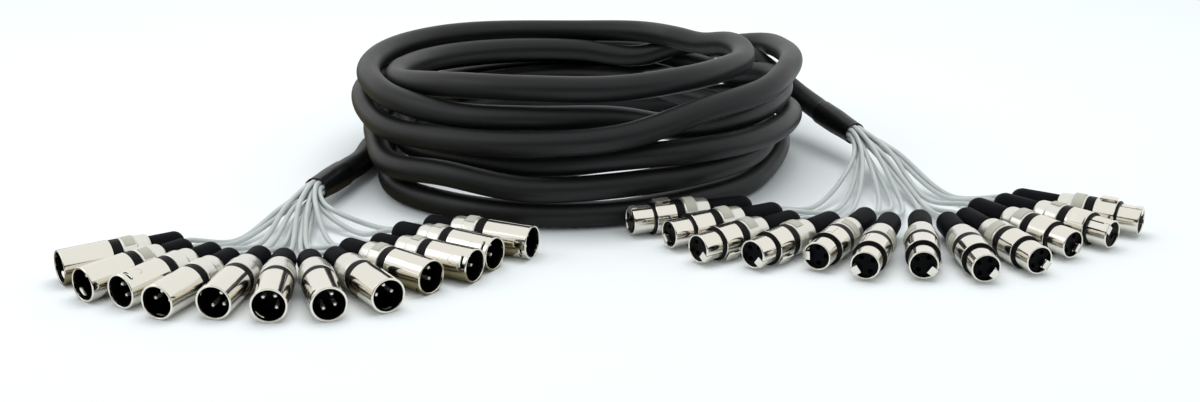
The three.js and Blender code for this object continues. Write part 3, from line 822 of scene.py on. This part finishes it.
def add_fan(kind, rows, length, add_connector):
    """All the connectors of one end, each with its tail, which ends in its boot."""
    sizes = lengths()
    end = trunk_end(f"{kind}_end", sizes)
    for index, (row, offset) in enumerate(zip(rows, bundle_places(sizes))):
        place = seat(end, row, length, sizes)
        number = f"{index + 1:02d}"
        boot = add_connector(number, place, sizes)
        line = through(tail_points(end, place, offset, sizes))
        tail = add_piece(f"{kind}_tail_{number}", tube(line, sizes.tail, 16), "tail jacket", "tail_jacket",
                         f"tails_{kind}_end")


def add_part(name, place, form, material, slot, node, **options):
    """A piece of a connector, laid by its roll unless another is given."""
    roll = options.pop("roll", place.roll)
    return add_piece(name, laid(form, place.rim, place.pointing, roll), material, slot, node, **options)


def add_plug(number, place, sizes):
    """One cable plug: shell, insert, pins, ring, cap, marking pad and boot. Returns the boot."""
    shell, length = sizes.shell, sizes.plug
    node = f"plug_{number}_insert_cap_boot"
    name = f"plug_{number}"
    wall = rounded([
        (27, shell - 1.25), (0.2, shell - 1.2), (0, shell - 0.9), (0, shell - 0.3), (0.3, shell),
        (26.7, shell), (27, shell - 0.3), (27, shell - 1.25),
    ], 0.12, 2)
    slot, slot_half, lining_half = (2.3, 4.4), 3.5, 3.0
    wall = windowed(with_rows(wall, slot)[:-1], *slot, slot_half)
    add_part(f"{name}_nickel_shell", place, wall, "nickel shell", "nickel_shell", f"plug_{number}_shell")
    lining = rounded([
        (15.2, shell - 1.3), (15, shell - 1.6), (1.6, shell - 1.55), (1.2, shell - 1.4), (1.2, shell - 1.26),
        (15.2, shell - 1.3),
    ], 0.1, 2)
    lining = windowed(with_rows(lining, slot)[:-1], *slot, lining_half)
    disc = turned([(15, 0), (15, 8), (16, 8), (16, 0)], 56)
    add_part(f"{name}_insert", place, joined(lining, disc), "black insert", "insert_and_boot", node)
    pin_front, pin_radius, bevel = 4.7, 1.2, 0.9
    tip = [(pin_front + bevel - bevel * math.cos(t), pin_radius - bevel + bevel * math.sin(t))
           for t in np.linspace(0.1, 1.57, 6)]
    pin = [(pin_front, 0.0), *tip, (15.2, pin_radius), (15.2, 0.0)]
    pins = [moved(turned(pin, 20), (0.0, y, z)) for y, z in contact_places(sizes)]
    add_part(f"{name}_pins", place, joined(*pins), "latch steel", "nickel_shell", node)
    ring = rounded([(27.1, 8.0), (27.15, shell - 0.35), (32.2, shell - 0.35), (32.3, 8.0)], 0.35, 2)
    add_part(f"{name}_ring", place, turned(ring), "black band", "insert_and_boot", node)
    cap = rounded([
        (32.35, 8.0), (32.4, shell - 0.1), (40.0, shell + 0.05), (40.6, shell - 0.75), (46.6, shell - 1.0),
        (48.3, shell - 1.7), (48.4, 6.4),
    ], 0.8)
    add_part(f"{name}_cap", place, turned(cap), "cap", "nickel_shell", node)
    add_pad(name, place, 33.8, 39.6, shell + 0.3, 24, node)
    boot = [(48.0, 6.6), (48.3, 6.95)] + [(54, 6.95)] + tube_end(6.9, length - 5.5, length)
    return add_part(f"{name}_boot", place, turned(boot, 48), "boot rubber", "insert_and_boot", node)


def add_pad(name, place, front, rear, high, half_turn, node):
    """The bare marking pad: a curved plate that wraps a part of the cap, under its own roll."""
    outline = rounded([(rear, 8.9), (front, 8.9), (front, high), (rear, high), (rear, 8.9)], 0.3, 2)[:-1]
    add_part(f"{name}_marking_pad", place, part_turned(outline, -half_turn, half_turn, 21), "marking pad",
             "insert_and_boot", node, roll=place.pad)


def add_socket(number, place, sizes):
    """One cable socket: nose, insert, thin ring, body, band, cap, pad, boot and latch. Returns the boot."""
    shell, length = sizes.shell, sizes.socket
    node = f"socket_{number}_body"
    name = f"socket_{number}"
    nose = rounded([
        (12.6, 7.0), (0.5, 7.0), (0.1, 7.15), (0, 7.45), (0.1, 7.8), (0.45, 8), (12.6, 8), (12.6, 7.0),
    ], 0.15, 2)
    slit_half_turn = 20.5
    nose = part_turned(nose[:-1], slit_half_turn, 360 - slit_half_turn, 72)
    add_part(f"{name}_nose", place, nose, "nickel socket", "nickel_socket", node)
    face_radius, flat_height, hole_radius = 6.98, 4.9, 1.35
    face = circle(face_radius, 72)
    face[:, 1] = np.minimum(face[:, 1], flat_height)
    holes = [circle(hole_radius, 20, (y, z)) for y, z in contact_places(sizes)]
    insert = plate(face, holes, 2.4, 12.4, 10.0)
    add_part(f"{name}_insert", place, insert, "black insert", "insert_and_boot", node)
    ring = rounded([(12.3, 7.95), (12.35, shell - 0.1), (13.55, shell - 0.05), (13.6, 7.95)], 0.3, 2)
    add_part(f"{name}_thin_ring", place, turned(ring), "black band", "insert_and_boot", node)
    body = rounded([
        (26, shell - 1.3), (13.6, shell - 1.3), (13.6, shell - 0.3), (13.9, shell),
        (25.7, shell), (26, shell - 0.3), (26, shell - 1.3),
    ], 0.12, 2)
    slot, slot_half = (14.6, 24.4), 2.4
    body = windowed(with_rows(body, slot)[:-1], *slot, slot_half)
    add_part(f"{name}_nickel_body", place, body, "nickel socket", "nickel_socket", node)
    band = rounded([(26, 7.6), (26.05, shell - 0.25), (30.9, shell - 0.25), (31, 7.6)], 0.35, 2)
    add_part(f"{name}_band", place, turned(band), "black band", "insert_and_boot", node)
    cap = rounded([
        (31.05, 7.6), (31.1, shell - 0.1), (38.9, shell + 0.05), (39.5, shell - 0.75), (45.6, shell - 1.0),
        (47.3, shell - 1.7), (47.4, 6.4),
    ], 0.8)
    add_part(f"{name}_cap", place, turned(cap), "cap", "nickel_socket", node)
    add_pad(name, place, 32.2, 38.6, shell + 0.4, 38, node)
    boot = [(47.0, 6.6), (47.3, 6.95)] + [(54, 6.95)] + tube_end(6.9, length - 7, length)
    made = add_part(f"{name}_boot", place, turned(boot, 48), "boot rubber", "insert_and_boot", node)
    lever = prism([(0.5, 6.6), (0.5, 7.7), (25.5, 7.7), (25.5, 6.6)], 3.9)
    hook = prism([
        (-0.15, 3.9), (-0.15, 7.8), (0.5, 8.3), (3.4, 8.3), (3.4, 6.9), (0.5, 6.9), (0.5, 3.9),
    ], 4.7)
    stem = prism([(15.5, 7.2), (15.5, 10.5), (19.2, 10.5), (19.2, 7.2)], 3.7)
    tab = prism([(14.2, 10.3), (14.5, 10.7), (23.4, 10.85), (23.8, 10.6), (23.6, 10.4)], 5.4)
    add_part(f"{name}_latch_lever", place, joined(lever, hook, stem, tab), "latch steel", "latch_steel",
             f"socket_{number}_latch", body=f"latch_{number}")
    return made


class SNAKE_OT_stage(bpy.types.Operator):
    """The camera, the pale floor, the lights, and two cards that only reflections see: a dark one, and one of
    painted shade on the floor
    """

    bl_idname = "snake.stage"
    bl_label = "Add the stage"

    def execute(self, context):
        colours = context.scene.snake_colours
        floor = add_card("floor", [(-3, -3, 0), (3, -3, 0), (3, 3, 0), (-3, 3, 0)], colours.floor)
        front, high = -1.4, 0.85
        room = add_card("dark_room", [(-2, front, 0), (2, front, 0), (2, front, high), (-2, front, high)],
                        (0.06, 0.045, 0.025))
        # Painted shade in reflections: an olive card just above the pale floor under the plug fan, which
        # metal sees in place of the floor.
        left, right, near, far, level = -2, -0.06, -0.185, 1, 0.0004
        ground = add_card("painted_floor_shade", [(left, near, level), (right, near, level), (right, far, level),
                                          (left, far, level)], (0.26, 0.235, 0.15))
        for card in (room, ground):
            card.visible_camera = False
            card.visible_diffuse = False
            card.visible_shadow = False
        overhead = add_light("overhead", (0.0, 0.15, 1.6), (0, 0, 0), 1.6, 1.0, 14)
        overhead.visible_glossy = False
        add_light("left", (-1.2, -0.3, 0.9), (0, -35, 0), 0.5, 0.9, 2)
        set_world(context.scene)
        set_camera(context.scene)
        return {"FINISHED"}


def add_card(name, corners, colour):
    """A flat card of one matt colour, in metres."""
    mesh = bpy.data.meshes.new(name)
    mesh.from_pydata(corners, [], [(0, 1, 2, 3)])
    mesh.materials.append(Surface(name.replace("_", " "), colour, 0.9, specular=0.0).material)
    made = bpy.data.objects.new(name, mesh)
    bpy.context.collection.objects.link(made)
    return made


def add_light(name, place, turn, width, height, watts):
    """A soft rectangular light, turned by degrees about X, Y and Z from shining down."""
    light = bpy.data.lights.new(name, "AREA")
    light.shape = "RECTANGLE"
    light.size = width
    light.size_y = height
    light.energy = watts
    made = bpy.data.objects.new(name, light)
    made.location = place
    made.rotation_euler = [math.radians(t) for t in turn]
    bpy.context.collection.objects.link(made)
    return made


def set_world(scene):
    """White for the camera and in reflections, and a softer white for everything that it lights."""
    world = bpy.data.worlds.new("studio")
    world.use_nodes = True
    sky = Nodes(world.node_tree)
    camera, glossy, clear = (sky.node("ShaderNodeLightPath", {}, {}, f"Is {ray} Ray")
                             for ray in ("Camera", "Glossy", "Transmission"))
    soft, white = (sky.node("ShaderNodeBackground", {}, {"Color": colour, "Strength": strength})
                   for colour, strength in (((0.93, 0.995, 1, 1), 0.72), ((1, 1, 1, 1), 1.0)))
    mix = sky.node("ShaderNodeMixShader", {}, {0: camera.largest(glossy).largest(clear), 1: soft, 2: white})
    sky.tree.links.new(mix.socket, sky.tree.nodes["World Output"].inputs["Surface"])
    scene.world = world


def set_camera(scene):
    """The photograph's camera: 308 mm above the floor, 19.2 degrees down, 45.8 mm on a 36 mm sensor."""
    camera = bpy.data.cameras.new("camera")
    camera.lens = 45.8
    camera.sensor_width = 36
    camera.clip_start = 0.01
    made = bpy.data.objects.new("camera", camera)
    made.location = (-0.01165, -0.91286, 0.308)
    made.rotation_euler = (math.radians(90 - 19.21), 0, 0)
    bpy.context.collection.objects.link(made)
    scene.camera = made
    scene.view_settings.view_transform = "Standard"


class SNAKE_PT_panel(bpy.types.Panel):
    """The add-on's panel, with one button for each group of pieces"""

    bl_label = "Cable snake"
    bl_idname = "SNAKE_PT_panel"
    bl_space_type = "VIEW_3D"
    bl_region_type = "UI"
    bl_category = "Snake"

    def draw(self, context):
        for step in STEPS:
            self.layout.operator(step.bl_idname)


STEPS = (SNAKE_OT_stage, SNAKE_OT_trunk, SNAKE_OT_plugs, SNAKE_OT_sockets)
CLASSES = (SnakeSizes, SnakeColours) + STEPS + (SNAKE_PT_panel,)


def register():
    for item in CLASSES:
        bpy.utils.register_class(item)
    bpy.types.Scene.snake_sizes = bpy.props.PointerProperty(type=SnakeSizes)
    bpy.types.Scene.snake_colours = bpy.props.PointerProperty(type=SnakeColours)


def unregister():
    del bpy.types.Scene.snake_colours
    del bpy.types.Scene.snake_sizes
    for item in reversed(CLASSES):
        bpy.utils.unregister_class(item)


def main():
    register()
    bpy.ops.snake.stage()
    bpy.ops.snake.trunk()
    bpy.ops.snake.plugs()
    bpy.ops.snake.sockets()


if __name__ == "__main__":
    main()
